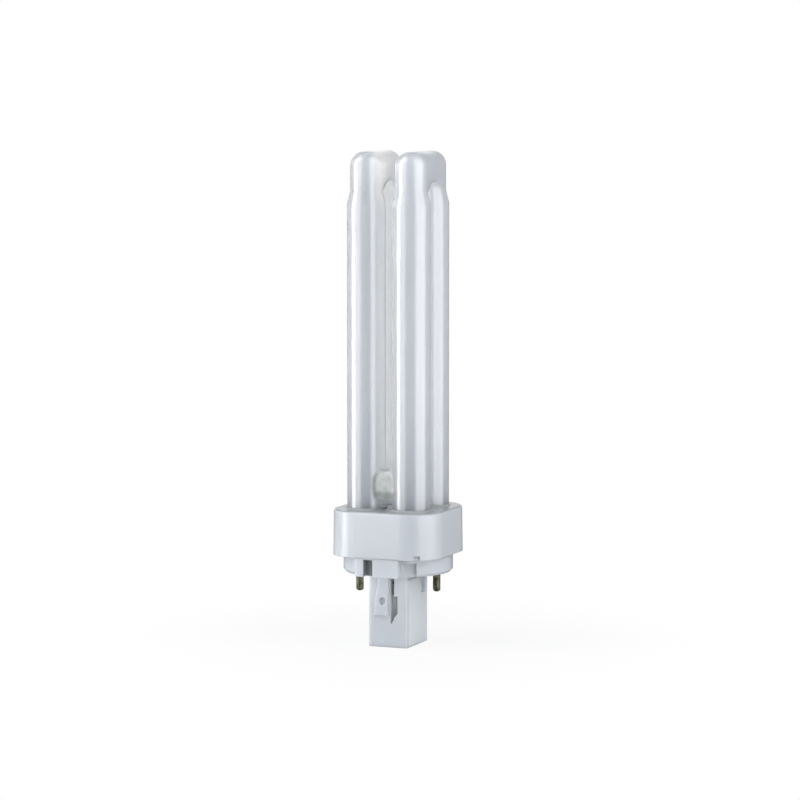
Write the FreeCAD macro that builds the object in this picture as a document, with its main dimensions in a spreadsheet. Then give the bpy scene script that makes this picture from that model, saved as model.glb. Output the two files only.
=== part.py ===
import FreeCAD, Part
import math
import os

import Sketcher

# Plug-in compact fluorescent lamp: two U-bent glass limbs side by side, a rounded square cap that
# holds them, and a round base with a rectangular starter post and two contact pins.
# The origin is at the middle of the post's free end and +Z runs up the lamp's axis. All sizes are mm.

DIMENSIONS = (
    ("overall_length", 153.0, "from the free end of the post to the flat tops of the bends"),
    ("tube_diameter", 12.0, "glass limb"),
    ("tube_pitch", 15.0, "between neighbouring limb axes, both ways"),
    ("bend_length", 16.0, "from the top down to where the limbs begin to narrow"),
    ("bend_taper", 4.0, "length over which a limb narrows to its bend"),
    ("bend_thickness", 10.0, "of the flat-topped bend"),
    ("bend_edge_radius", 4.2, "rounding of the bend's top edge"),
    ("bend_height", 9.0, "glass above the arch between two limbs"),
    ("bridge_width", 8.4, "oval weld that joins the two bent tubes"),
    ("bridge_height", 11.6, "oval weld that joins the two bent tubes"),
    ("bridge_rise", 7.4, "from the cap's top to the middle of the bridge"),
    ("tube_insertion", 8.9, "depth of the limbs below the cap's top"),
    ("pinch_length", 2.5, "flat seal below a limb that has an electrode"),
    ("pinch_width", 8.4, "across the two lead wires"),
    ("pinch_thickness", 3.0, "of the flat seal"),
    ("flange_overhang", 4.3, "from the outermost glass to the cap's lower rim"),
    ("flange_height", 14.2, "side of the cap"),
    ("flange_corner", 10.3, "corner radius of the cap's lower rim"),
    ("flange_draft", 0.75, "lean of the cap's side, in degrees"),
    ("flange_edge_bevel", 0.5, "chamfer of the cap's top edge"),
    ("rim_notch_angle", 38.5, "from the tab's middle round to the notch in the cap's rim, in degrees"),
    ("rim_notch_width", 2.0, "notch in the cap's lower rim, over the lid's edge"),
    ("rim_notch_height", 1.3, "notch in the cap's lower rim, over the lid's edge"),
    ("cap_wall", 1.6, "side wall of the cap"),
    ("cap_plate", 2.0, "top plate of the cap"),
    ("socket_wall", 2.1, "cement and collar round the limbs, under the top plate"),
    ("socket_length", 6.0, "below the top plate"),
    ("body_height", 5.7, "round base, from its seating face to the cap"),
    ("body_inset", 0.8, "from the cap's rim in to the round base"),
    ("body_wall", 2.2, "side of the round base"),
    ("body_floor", 1.7, "seating face of the round base"),
    ("body_edge_bevel", 0.8, "chamfer at the seating face's rim"),
    ("relief_margin", 0.6, "from the latches and panels out to the edge of the relief round the post's root"),
    ("relief_depth", 0.4, "relief in the seating face round the post's root"),
    ("lid_clearance", 0.15, "between the base's lid and the inside of the cap"),
    ("lid_thickness", 1.6, "plate that closes the cap from below"),
    ("lip_height", 3.0, "rim of the lid inside the cap"),
    ("lip_wall", 1.2, "rim of the lid inside the cap"),
    ("tab_width", 14.2, "flat tab flush with the cap's face"),
    ("key_offset", 2.75, "from the middle of the tab to its key slot"),
    ("key_width", 3.1, "key slot in the tab"),
    ("key_height", 5.3, "key slot in the tab"),
    ("key_depth", 2.6, "key slot in the tab"),
    ("side_key_angle", 35.0, "from the tab's middle round to the side key, in degrees"),
    ("side_key_width", 4.0, "notch in the round side"),
    ("side_key_height", 4.3, "notch in the round side"),
    ("side_key_depth", 1.5, "notch in the round side"),
    ("post_length", 23.0, "from the seating face to the free end"),
    ("post_width", 12.8, "across the two plain faces"),
    ("post_depth", 17.2, "across the two latch faces"),
    ("post_wall", 1.5, "side of the hollow post"),
    ("post_floor", 1.2, "end of the hollow post"),
    ("post_edge_radius", 0.6, "rounding of the post's edges"),
    ("slit_offset", 1.55, "from the middle of the latch face to the slit"),
    ("slit_width", 1.3, "opening beside the latch"),
    ("slit_start", 7.0, "from the free end to the slit's point"),
    ("slit_point", 1.8, "length over which the slit narrows to its point"),
    ("slit_end_gap", 1.0, "from the slit to the seating face"),
    ("slit_bulge", 1.1, "extra width at the middle of the slit"),
    ("slit_bulge_start", 9.4, "from the free end to the wide stretch"),
    ("slit_bulge_length", 6.6, "wide stretch of the slit"),
    ("latch_height", 0.7, "how far the latch stands proud"),
    ("latch_top_width", 2.8, "at the seating face"),
    ("latch_top_offset", 0.9, "of the latch's upper end from the middle"),
    ("latch_foot_width", 4.1, "at its wide lower end"),
    ("latch_foot_offset", 2.05, "of the latch's lower end from the middle"),
    ("latch_start", 9.8, "from the free end to the latch"),
    ("latch_shoulder", 4.7, "straight stretch at the latch's lower end"),
    ("dimple_diameter", 2.2, "round pit in the latch"),
    ("dimple_depth", 0.9, "round pit in the latch"),
    ("dimple_offset", 1.6, "from the middle of the latch face to the pit"),
    ("dimple_level", 14.4, "from the free end to the pit"),
    ("panel_height", 0.5, "how far the plain face's panel stands proud"),
    ("panel_margin", 0.5, "from the post's edge to the panel"),
    ("panel_width", 10.3, "raised panel on the plain face"),
    ("panel_top_gap", 1.7, "from the panel to the seating face"),
    ("pocket_offset", 4.5, "from the middle of the plain face to its pocket"),
    ("pocket_width", 3.6, "pocket in the plain face"),
    ("pocket_height", 5.4, "pocket in the plain face"),
    ("pocket_depth", 0.9, "pocket in the plain face"),
    ("pin_diameter", 2.35, "contact pin"),
    ("pin_length", 6.5, "below the seating face"),
    ("pin_across", 11.5, "from the axis to a pin, across the plain faces"),
    ("pin_along", 3.4, "from the axis to a pin, along the plain faces"),
    ("pin_tip_bevel", 0.5, "chamfer at a pin's end"),
    ("pin_shank_diameter", 2.7, "in the base's floor"),
    ("pin_bore", 0.9, "hole up the end of a pin"),
    ("pin_bore_depth", 3.0, "hole up the end of a pin"),
    ("pin_head_diameter", 3.8, "head inside the base"),
    ("pin_head_height", 0.8, "head inside the base"),
    ("pin_clearance", 0.03, "round a pin in its hole"),
    ("boss_wall", 1.3, "round a pin above the floor"),
    ("boss_height", 2.4, "round a pin above the floor"),
    ("bottle_diameter", 6.6, "glow switch of the starter"),
    ("bottle_length", 18.0, "glow switch with its pinched end"),
    ("bottle_neck_length", 3.0, "sealed end of the bottle"),
    ("bottle_neck", 3.6, "sealed end of the bottle"),
    ("seat_gap", 0.15, "under and beside the loose parts of the starter"),
    ("leg_spread", 1.0, "from the starter's middle to each leg"),
    ("leg_length", 3.0, "wire above the bottle"),
    ("capacitor_width", 7.2, "radio suppression capacitor"),
    ("capacitor_thickness", 3.6, "radio suppression capacitor"),
    ("capacitor_height", 10.5, "radio suppression capacitor"),
    ("capacitor_edge_radius", 0.8, "dipped coating's rounding"),
    ("wire_diameter", 0.6, "all lead wires"),
    ("lead_spread", 2.0, "from a limb's axis to each of its leads"),
    ("pin_wire_rise", 1.5, "from a pin's head to the wire that crosses to it"),
    ("starter_wire_rise", 4.0, "from the seating face to the wires that cross to the starter"),
)

doc = FreeCAD.newDocument("plug_in_lamp")
sheet = doc.addObject("Spreadsheet::Sheet", "dims")
for row, (alias, size, note) in enumerate(DIMENSIONS, start=1):
    sheet.set(f"A{row}", alias)
    sheet.set(f"B{row}", str(size))
    sheet.setAlias(f"B{row}", alias)
    sheet.set(f"C{row}", note)
doc.recompute()

# Levels and half sizes that several pieces share, as expressions on the sheet.
HALF_PITCH = "dims.tube_pitch / 2"
TUBE_RADIUS = "dims.tube_diameter / 2"
BEND_RADIUS = "dims.bend_thickness / 2"
SEAT_LEVEL = "dims.post_length"
CAP_BOTTOM = f"({SEAT_LEVEL} + dims.body_height)"
CAP_TOP = f"({CAP_BOTTOM} + dims.flange_height)"
CAP_HALF = f"({HALF_PITCH} + {TUBE_RADIUS} + dims.flange_overhang)"
CAP_INNER_HALF = f"({CAP_HALF} - dims.cap_wall)"
CAP_INNER_CORNER = "(dims.flange_corner - dims.cap_wall)"
LIMB_END = f"({CAP_TOP} - dims.tube_insertion)"
PINCH_END = f"({LIMB_END} - dims.pinch_length)"
NARROWING = "(dims.overall_length - dims.bend_length)"
BODY_RADIUS = f"({CAP_HALF} - dims.body_inset)"
HOLLOW_RADIUS = f"({BODY_RADIUS} - dims.body_wall)"
FLOOR_LEVEL = f"({SEAT_LEVEL} + dims.body_floor)"
RELIEF_LEVEL = f"({SEAT_LEVEL} + dims.relief_depth)"
LID_TOP = f"({CAP_BOTTOM} + dims.lid_thickness)"
LID_HALF = f"({CAP_INNER_HALF} - dims.lid_clearance)"
LID_CORNER = f"({CAP_INNER_CORNER} - dims.lid_clearance)"
PIN_RADIUS = "dims.pin_diameter / 2"
SHANK_RADIUS = "dims.pin_shank_diameter / 2"
BOSS_TOP = f"({FLOOR_LEVEL} + dims.boss_height)"
PIN_HEAD_TOP = f"({BOSS_TOP} + dims.pin_head_height)"
BOTTLE_RADIUS = "dims.bottle_diameter / 2"
BOTTLE_SHIFT = f"(dims.post_depth / 2 - dims.post_wall - dims.seat_gap - {BOTTLE_RADIUS})"
BOTTLE_FOOT = "(dims.post_floor + dims.seat_gap)"
BOTTLE_TOP = f"({BOTTLE_FOOT} + dims.bottle_length)"
LEG_TOP = f"({BOTTLE_TOP} + dims.leg_length)"
WIRE_RADIUS = "dims.wire_diameter / 2"


def number(text):
    """The present value of an expression on the sheet."""
    return float(sheet.evalExpression(text))


def point(across, up, height="0"):
    """A vector from three expressions."""
    return FreeCAD.Vector(number(across), number(up), number(height))


def new_body(name):
    """An empty body whose label is the piece's name."""
    body = doc.addObject("PartDesign::Body", name)
    body.Label = name
    return body


def new_sketch(body, name, role, height="0", shift="0"):
    """A sketch on one of the body's own origin planes, raised and shifted by expressions."""
    plane = next(item for item in body.Origin.OriginFeatures if item.Role == role)
    sketch = body.newObject("Sketcher::SketchObject", f"{body.Name}_{name}_outline")
    sketch.AttachmentSupport = [(plane, "")]
    sketch.MapMode = "FlatFace"
    sketch.setExpression("AttachmentOffset.Base.z", height)
    sketch.setExpression("AttachmentOffset.Base.x", shift)
    return sketch


def drive(sketch, constraint, text):
    """Add a sketch dimension and bind it to an expression."""
    index = sketch.addConstraint(constraint)
    sketch.setExpression(f"Constraints[{index}]", text)


def locate(sketch, curve, end, across, up):
    """Hold one point of a sketch at two expressions, measured from the sketch's origin."""
    for kind, axis, text in (("DistanceX", -2, across), ("DistanceY", -1, up)):
        if abs(number(text)) < 1e-9:
            sketch.addConstraint(Sketcher.Constraint("PointOnObject", curve, end, axis))
        else:
            drive(sketch, Sketcher.Constraint(kind, -1, 1, curve, end, number(text)), text)


def draw_circle(sketch, across, up, radius):
    """A circle whose centre and radius are expressions."""
    outline = Part.Circle(point(across, up), FreeCAD.Vector(0, 0, 1), number(radius))
    curve = sketch.addGeometry(outline, False)
    drive(sketch, Sketcher.Constraint("Radius", curve, number(radius)), radius)
    locate(sketch, curve, 3, across, up)


def draw_polygon(sketch, corners):
    """A closed outline of straight sides, each corner given by two expressions."""
    count = len(corners)
    spots = [point(across, up) for across, up in corners]
    sides = [
        sketch.addGeometry(Part.LineSegment(spots[k], spots[(k + 1) % count]), False)
        for k in range(count)
    ]
    for k, side in enumerate(sides):
        sketch.addConstraint(Sketcher.Constraint("Coincident", side, 2, sides[(k + 1) % count], 1))
        locate(sketch, side, 1, *corners[k])


def draw_rectangle(sketch, left, right, low, high):
    """A rectangle between four expressions."""
    draw_polygon(sketch, [(left, low), (right, low), (right, high), (left, high)])


def draw_belt(sketch, centres, radius):
    """An outline drawn tight round equal circles at the given centres, counterclockwise."""
    count = len(centres)
    reach = number(radius)
    spots = [point(across, up) for across, up in centres]
    outward = []
    for k in range(count):
        side = spots[(k + 1) % count] - spots[k]
        outward.append(FreeCAD.Vector(side.y, -side.x, 0).normalize())
    arcs, sides = [], []
    for k in range(count):
        start = math.atan2(outward[k - 1].y, outward[k - 1].x)
        finish = math.atan2(outward[k].y, outward[k].x)
        ring = Part.Circle(spots[k], FreeCAD.Vector(0, 0, 1), reach)
        arcs.append(sketch.addGeometry(Part.ArcOfCircle(ring, start, finish), False))
        near = spots[k] + outward[k] * reach
        far = spots[(k + 1) % count] + outward[k] * reach
        sides.append(sketch.addGeometry(Part.LineSegment(near, far), False))
    for k in range(count):
        sketch.addConstraint(Sketcher.Constraint("Tangent", arcs[k], 2, sides[k], 1))
        sketch.addConstraint(Sketcher.Constraint("Tangent", sides[k], 2, arcs[(k + 1) % count], 1))
        drive(sketch, Sketcher.Constraint("Radius", arcs[k], reach), radius)
        locate(sketch, arcs[k], 3, *centres[k])


def draw_rounded_box(sketch, half_across, half_up, corner):
    """A centred rectangle with rounded corners."""
    across, up = f"({half_across} - {corner})", f"({half_up} - {corner})"
    draw_belt(
        sketch,
        [(f"-{across}", f"-{up}"), (across, f"-{up}"), (across, up), (f"-{across}", up)],
        corner,
    )


def pad(body, name, sketch, length, down=False, midplane=False):
    """Solid material on one side of a sketch, or evenly on both."""
    feature = body.newObject("PartDesign::Pad", f"{body.Name}_{name}")
    feature.Profile = sketch
    feature.setExpression("Length", length)
    feature.Reversed = down
    feature.Midplane = midplane
    return feature


def pocket(body, name, sketch, length=None, forward=False):
    """A cut against a sketch's normal, or along it; without a length it goes right through both ways."""
    feature = body.newObject("PartDesign::Pocket", f"{body.Name}_{name}")
    feature.Profile = sketch
    if length is None:
        feature.Type = "ThroughAll"
        feature.Midplane = True
    else:
        feature.setExpression("Length", length)
        feature.Reversed = forward
    return feature


def spin(body, name, sketch):
    """A full turn of a sketch about its own vertical axis."""
    feature = body.newObject("PartDesign::Revolution", f"{body.Name}_{name}")
    feature.Profile = sketch
    feature.ReferenceAxis = (sketch, ["V_Axis"])
    feature.Angle = 360
    return feature


def repeat_round(body, name, originals, count):
    """Copies of features, evenly spaced about the body's vertical axis."""
    axis = next(item for item in body.Origin.OriginFeatures if item.Role == "Z_Axis")
    feature = body.newObject("PartDesign::PolarPattern", f"{body.Name}_{name}")
    feature.Originals = originals
    feature.Axis = (axis, [""])
    feature.Angle = 360
    feature.Occurrences = count
    body.Tip = feature
    return feature


def edges_where(feature, test):
    """Names of the edges of a feature that pass a test."""
    doc.recompute()
    return [f"Edge{k}" for k, edge in enumerate(feature.Shape.Edges, start=1) if test(edge)]


def at_level(level):
    """A test for edges that lie flat at one height."""
    height = number(level)
    return lambda edge: all(abs(end - height) < 1e-4 for end in (edge.BoundBox.ZMin, edge.BoundBox.ZMax))


def soften(body, name, feature, edges, radius):
    """Round the named edges of a feature."""
    rounding = body.newObject("PartDesign::Fillet", f"{body.Name}_{name}")
    rounding.Base = (feature, edges)
    rounding.setExpression("Radius", radius)
    return rounding


def bevel(body, name, feature, edges, size):
    """Chamfer the named edges of a feature."""
    cut = body.newObject("PartDesign::Chamfer", f"{body.Name}_{name}")
    cut.Base = (feature, edges)
    cut.setExpression("Size", size)
    return cut


def make_discharge_tube():
    """Two U-bent limbs joined by a short bridge, one sealed and coated piece of glass."""
    body = new_body("discharge_tube")

    bend = new_sketch(body, "bend", "XY_Plane", NARROWING)
    draw_belt(bend, [(f"-{HALF_PITCH}", f"-{HALF_PITCH}"), (f"-{HALF_PITCH}", HALF_PITCH)], BEND_RADIUS)
    block = pad(body, "bend", bend, "dims.bend_length")

    arch = new_sketch(body, "arch", "YZ_Plane")
    arch_half = f"({HALF_PITCH})"
    arch_top = "(dims.overall_length - dims.bend_height)"
    draw_circle(arch, "0", f"{arch_top} - {arch_half}", arch_half)
    tunnel = pocket(body, "arch", arch)
    pair = repeat_round(body, "bends", [block, tunnel], 2)
    top_edges = edges_where(pair, at_level("dims.overall_length"))
    soften(body, "bend_tops", pair, top_edges, "dims.bend_edge_radius")

    limb = new_sketch(body, "limb", "XZ_Plane", HALF_PITCH, f"-{HALF_PITCH}")
    limb_top = "dims.overall_length - dims.bend_edge_radius"
    draw_polygon(limb, [
        ("0", LIMB_END),
        (TUBE_RADIUS, LIMB_END),
        (TUBE_RADIUS, NARROWING),
        (BEND_RADIUS, f"{NARROWING} + dims.bend_taper"),
        (BEND_RADIUS, limb_top),
        ("0", limb_top),
    ])
    repeat_round(body, "limbs", [spin(body, "limb", limb)], 4)

    bridge = new_sketch(body, "bridge", "YZ_Plane")
    middle = f"{CAP_TOP} + dims.bridge_rise"
    rise = "(dims.bridge_height - dims.bridge_width) / 2"
    ends = [(f"-{HALF_PITCH}", f"{middle} - {rise}"), (f"-{HALF_PITCH}", f"{middle} + {rise}")]
    draw_belt(bridge, ends, "dims.bridge_width / 2")
    pad(body, "bridge", bridge, "dims.tube_pitch", midplane=True)

    pinches = new_sketch(body, "pinches", "XY_Plane", PINCH_END)
    for side in (f"-{HALF_PITCH}", HALF_PITCH):
        draw_rectangle(
            pinches,
            f"{side} - dims.pinch_width / 2",
            f"{side} + dims.pinch_width / 2",
            f"{HALF_PITCH} - dims.pinch_thickness / 2",
            f"{HALF_PITCH} + dims.pinch_thickness / 2",
        )
    pad(body, "pinches", pinches, "dims.pinch_length")
    return body


def make_upper_cap():
    """Rounded square cap, open below, with a socket for each limb and the cement that fills it."""
    body = new_body("upper_cap")
    rim = new_sketch(body, "rim", "XY_Plane", CAP_BOTTOM)
    draw_rounded_box(rim, CAP_HALF, CAP_HALF, "dims.flange_corner")
    shell = pad(body, "side", rim, "dims.flange_height")
    shell.setExpression("TaperAngle", "-dims.flange_draft")
    bevel(body, "top_edge", shell, edges_where(shell, at_level(CAP_TOP)), "dims.flange_edge_bevel")

    inside = new_sketch(body, "inside", "XY_Plane", CAP_BOTTOM)
    draw_rounded_box(inside, CAP_INNER_HALF, CAP_INNER_HALF, CAP_INNER_CORNER)
    pocket(body, "inside", inside, "dims.flange_height - dims.cap_plate", forward=True)

    collar = new_sketch(body, "collar", "XY_Plane", f"{CAP_TOP} - dims.cap_plate")
    collar_corner = f"({TUBE_RADIUS} + dims.socket_wall)"
    collar_half = f"({HALF_PITCH} + {collar_corner})"
    draw_rounded_box(collar, collar_half, collar_half, collar_corner)
    pad(body, "collar", collar, "dims.socket_length", down=True)

    bore = new_sketch(body, "bore", "XY_Plane", CAP_TOP)
    draw_circle(bore, HALF_PITCH, HALF_PITCH, TUBE_RADIUS)
    repeat_round(body, "bores", [pocket(body, "bore", bore, "dims.flange_height")], 4)

    notch = new_sketch(body, "rim_notch", "XY_Plane", CAP_BOTTOM)
    notch.setExpression("AttachmentOffset.Rotation.Angle", "dims.rim_notch_angle")
    half_width = "dims.rim_notch_width / 2"
    draw_rectangle(notch, f"-{half_width}", half_width, f"-{CAP_HALF} * sqrt(2)", f"-{CAP_INNER_HALF}")
    cut = pocket(body, "rim_notch", notch, "dims.rim_notch_height", forward=True)
    repeat_round(body, "rim_notches", [cut], 2)
    return body


def make_lower_base():
    """Round base with its two tabs, the lid that closes the cap, and the hollow starter post."""
    body = new_body("lower_base")
    disc = new_sketch(body, "disc", "XY_Plane", SEAT_LEVEL)
    draw_circle(disc, "0", "0", BODY_RADIUS)
    pad(body, "disc", disc, "dims.body_height")

    lid = new_sketch(body, "lid", "XY_Plane", CAP_BOTTOM)
    draw_rounded_box(lid, LID_HALF, LID_HALF, LID_CORNER)
    round_base = pad(body, "lid", lid, "dims.lid_thickness + dims.lip_height")
    rim = edges_where(round_base, at_level(SEAT_LEVEL))
    bevel(body, "seat_rim", round_base, rim, "dims.body_edge_bevel")

    tab = new_sketch(body, "tab", "XY_Plane", SEAT_LEVEL)
    draw_rectangle(tab, "-dims.tab_width / 2", "dims.tab_width / 2", f"-{CAP_HALF}", CAP_HALF)
    pad(body, "tab", tab, "dims.body_height")

    relief = new_sketch(body, "relief", "XY_Plane", SEAT_LEVEL)
    relief_across = "(dims.post_width / 2 + dims.panel_height + dims.relief_margin)"
    relief_along = "(dims.post_depth / 2 + dims.latch_height + dims.relief_margin)"
    draw_rectangle(relief, f"-{relief_across}", relief_across, f"-{relief_along}", relief_along)
    pocket(body, "relief", relief, "dims.relief_depth", forward=True)

    post = new_sketch(body, "post", "XY_Plane")
    draw_rectangle(
        post, "-dims.post_width / 2", "dims.post_width / 2", "-dims.post_depth / 2", "dims.post_depth / 2"
    )
    post_block = pad(body, "post", post, RELIEF_LEVEL)
    post_edges = edges_where(post_block, is_post_edge)
    soften(body, "post_edges", post_block, post_edges, "dims.post_edge_radius")

    inside_lid = new_sketch(body, "inside_lid", "XY_Plane", LID_TOP)
    draw_rounded_box(
        inside_lid,
        f"({LID_HALF} - dims.lip_wall)",
        f"({LID_HALF} - dims.lip_wall)",
        f"({LID_CORNER} - dims.lip_wall)",
    )
    pocket(body, "inside_lid", inside_lid, "dims.lip_height", forward=True)
    hollow = new_sketch(body, "hollow", "XY_Plane", FLOOR_LEVEL)
    draw_circle(hollow, "0", "0", HOLLOW_RADIUS)
    pocket(body, "hollow", hollow, "dims.body_height - dims.body_floor + dims.lid_thickness", forward=True)
    post_hollow = new_sketch(body, "post_hollow", "XY_Plane", "dims.post_floor")
    draw_rectangle(
        post_hollow,
        "-dims.post_width / 2 + dims.post_wall",
        "dims.post_width / 2 - dims.post_wall",
        "-dims.post_depth / 2 + dims.post_wall",
        "dims.post_depth / 2 - dims.post_wall",
    )
    pocket(body, "post_hollow", post_hollow, f"{FLOOR_LEVEL} - dims.post_floor", forward=True)

    boss = new_sketch(body, "boss", "XY_Plane", FLOOR_LEVEL)
    draw_circle(boss, "dims.pin_across", "dims.pin_along", f"{SHANK_RADIUS} + dims.boss_wall")
    boss_pad = pad(body, "boss", boss, "dims.boss_height")
    pin_hole = new_sketch(body, "pin_hole", "XY_Plane", SEAT_LEVEL)
    draw_circle(pin_hole, "dims.pin_across", "dims.pin_along", f"{SHANK_RADIUS} + dims.pin_clearance")
    pin_cut = pocket(body, "pin_hole", pin_hole, "dims.body_floor + dims.boss_height", forward=True)

    details = [boss_pad, pin_cut]
    details += add_keys(body)
    details += add_latch(body)
    details += add_plain_face(body)
    repeat_round(body, "both_sides", details, 2)
    return body


def is_post_edge(edge):
    """Whether an edge is one of the post's four upright corners."""
    box = edge.BoundBox
    return box.ZMin < 1e-4 and box.ZLength > number(f"{SEAT_LEVEL} / 2")


def add_keys(body):
    """The key slot in a tab and the key notch in the round side next to it."""
    slot = new_sketch(body, "key", "XY_Plane", SEAT_LEVEL)
    draw_rectangle(
        slot,
        "-dims.key_offset - dims.key_width / 2",
        "-dims.key_offset + dims.key_width / 2",
        f"-{CAP_HALF} - dims.key_depth",
        f"-{CAP_HALF} + dims.key_depth",
    )
    notch = new_sketch(body, "side_key", "XY_Plane", SEAT_LEVEL)
    notch.setExpression("AttachmentOffset.Rotation.Angle", "dims.side_key_angle")
    draw_rectangle(
        notch,
        "-dims.side_key_width / 2",
        "dims.side_key_width / 2",
        f"-{BODY_RADIUS} - dims.side_key_depth",
        f"-{BODY_RADIUS} + dims.side_key_depth",
    )
    return [
        pocket(body, "key", slot, "dims.key_height", forward=True),
        pocket(body, "side_key", notch, "dims.side_key_height", forward=True),
    ]


def add_latch(body):
    """The tapered latch on a latch face, the pit in it and the slit beside it."""
    face = "dims.post_depth / 2"
    low, high = "dims.latch_start", "dims.latch_start + dims.latch_shoulder"
    latch = new_sketch(body, "latch", "XZ_Plane", f"{face} - dims.post_wall / 2")
    draw_polygon(latch, [
        ("-dims.latch_foot_offset - dims.latch_foot_width / 2", low),
        ("-dims.latch_foot_offset + dims.latch_foot_width / 2", low),
        ("-dims.latch_top_offset + dims.latch_top_width / 2", RELIEF_LEVEL),
        ("-dims.latch_top_offset - dims.latch_top_width / 2", RELIEF_LEVEL),
        ("-dims.latch_foot_offset - dims.latch_foot_width / 2", high),
    ])
    raised = pad(body, "latch", latch, "dims.latch_height + dims.post_wall / 2")

    pit = new_sketch(body, "dimple", "XZ_Plane", f"{face} + dims.latch_height")
    draw_circle(pit, "-dims.dimple_offset", "dims.dimple_level", "dims.dimple_diameter / 2")

    slit = new_sketch(body, "slit", "XZ_Plane", f"{face} + dims.latch_height")
    left, right = "dims.slit_offset - dims.slit_width / 2", "dims.slit_offset + dims.slit_width / 2"
    wide = f"{right} + dims.slit_bulge"
    step_low = "dims.slit_bulge_start"
    step_high = "dims.slit_bulge_start + dims.slit_bulge_length"
    draw_polygon(slit, [
        (left, "dims.slit_start"),
        (right, "dims.slit_start + dims.slit_point"),
        (right, step_low),
        (wide, f"{step_low} + dims.slit_bulge"),
        (wide, step_high),
        (right, step_high),
        (right, f"{SEAT_LEVEL} - dims.slit_end_gap"),
        (left, f"{SEAT_LEVEL} - dims.slit_end_gap"),
    ])
    return [
        raised,
        pocket(body, "dimple", pit, "dims.dimple_depth"),
        pocket(body, "slit", slit, "dims.latch_height + dims.post_wall"),
    ]


def add_plain_face(body):
    """The raised panel and the pocket on a plain face."""
    face = "dims.post_width / 2"
    panel = new_sketch(body, "panel", "YZ_Plane", face)
    draw_rectangle(
        panel,
        "-dims.post_depth / 2 + dims.panel_margin",
        "-dims.post_depth / 2 + dims.panel_margin + dims.panel_width",
        "dims.panel_margin",
        f"{SEAT_LEVEL} - dims.panel_top_gap",
    )
    hole = new_sketch(body, "pocket", "YZ_Plane", face)
    draw_rectangle(
        hole,
        "dims.pocket_offset - dims.pocket_width / 2",
        "dims.pocket_offset + dims.pocket_width / 2",
        f"{SEAT_LEVEL} - dims.panel_top_gap - dims.pocket_height",
        f"{SEAT_LEVEL} - dims.panel_top_gap",
    )
    return [
        pad(body, "panel", panel, "dims.panel_height"),
        pocket(body, "pocket", hole, "dims.pocket_depth"),
    ]


def make_contact_pin(name, side):
    """Brass pin: a bored contact end below the seating face, a wider shank in the base and a head."""
    body = new_body(name)
    tip = f"({SEAT_LEVEL} - dims.pin_length)"
    profile = new_sketch(body, "profile", "XZ_Plane")
    bore = "dims.pin_bore / 2"
    draw_polygon(profile, [
        ("0", f"{tip} + dims.pin_bore_depth"),
        (bore, f"{tip} + dims.pin_bore_depth"),
        (bore, tip),
        (f"{PIN_RADIUS} - dims.pin_tip_bevel", tip),
        (PIN_RADIUS, f"{tip} + dims.pin_tip_bevel"),
        (PIN_RADIUS, SEAT_LEVEL),
        (SHANK_RADIUS, SEAT_LEVEL),
        (SHANK_RADIUS, BOSS_TOP),
        ("dims.pin_head_diameter / 2", BOSS_TOP),
        ("dims.pin_head_diameter / 2", PIN_HEAD_TOP),
        ("0", PIN_HEAD_TOP),
    ])
    spin(body, "pin", profile)
    body.setExpression("Placement.Base.x", f"{side} * dims.pin_across")
    body.setExpression("Placement.Base.y", f"{side} * dims.pin_along")
    return body


def make_starter_bottle():
    """Glow switch of the starter: a small glass bottle with two legs."""
    body = new_body("starter_glow_bottle")
    profile = new_sketch(body, "profile", "XZ_Plane", BOTTLE_SHIFT)
    draw_polygon(profile, [
        ("0", BOTTLE_FOOT),
        (BOTTLE_RADIUS, BOTTLE_FOOT),
        (BOTTLE_RADIUS, f"{BOTTLE_TOP} - dims.bottle_neck_length"),
        ("dims.bottle_neck / 2", f"{BOTTLE_TOP} - dims.bottle_neck_length"),
        ("dims.bottle_neck / 2", BOTTLE_TOP),
        ("0", BOTTLE_TOP),
    ])
    spin(body, "bottle", profile)
    legs = new_sketch(body, "legs", "XY_Plane", BOTTLE_TOP)
    for side in ("-", ""):
        draw_circle(legs, f"{side}dims.leg_spread", f"-{BOTTLE_SHIFT}", WIRE_RADIUS)
    pad(body, "legs", legs, "dims.leg_length")
    return body


def wire_solid(stops):
    """A wire of hexagonal section along straight runs with mitred corners; the first run is upright."""
    sides = 6
    mitred = 1
    across = FreeCAD.Vector(number(WIRE_RADIUS), 0, 0)
    turns = [FreeCAD.Rotation(FreeCAD.Vector(0, 0, 1), 360 / sides * k) for k in range(sides + 1)]
    section = Part.makePolygon([stops[0] + turn.multVec(across) for turn in turns])
    return Part.makePolygon(stops).makePipeShell([section], True, True, mitred)


def make_capacitor():
    """Radio suppression capacitor whose two legs reach over to the glow switch."""
    beside = f"({BOTTLE_RADIUS} - {BOTTLE_SHIFT} + dims.seat_gap)"
    width, depth = number("dims.capacitor_width"), number("dims.capacitor_thickness")
    height = number("dims.capacitor_height")
    corner = point("-dims.capacitor_width / 2", beside, BOTTLE_FOOT)
    block = Part.makeBox(width, depth, height, corner)
    upright = [edge for edge in block.Edges if edge.BoundBox.ZLength > height / 2]
    solid = block.makeFillet(number("dims.capacitor_edge_radius"), upright)
    level = f"({LEG_TOP} - {WIRE_RADIUS})"
    along = f"({beside} + dims.capacitor_thickness / 2)"
    for side in ("-", ""):
        across = f"{side}dims.leg_spread"
        solid = solid.fuse(wire_solid([
            point(across, along, f"{BOTTLE_FOOT} + dims.capacitor_height - dims.capacitor_edge_radius"),
            point(across, along, level),
            point(across, f"-{BOTTLE_SHIFT} + {WIRE_RADIUS}", level),
        ]))
    capacitor = doc.addObject("Part::Feature", "starter_capacitor")
    capacitor.Shape = solid
    return capacitor


def make_lead_wire(name, stops):
    """Lead wire of an electrode, along a route given as expressions."""
    lead = doc.addObject("Part::Feature", name)
    lead.Shape = wire_solid([point(*stop) for stop in stops])
    return lead


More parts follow.
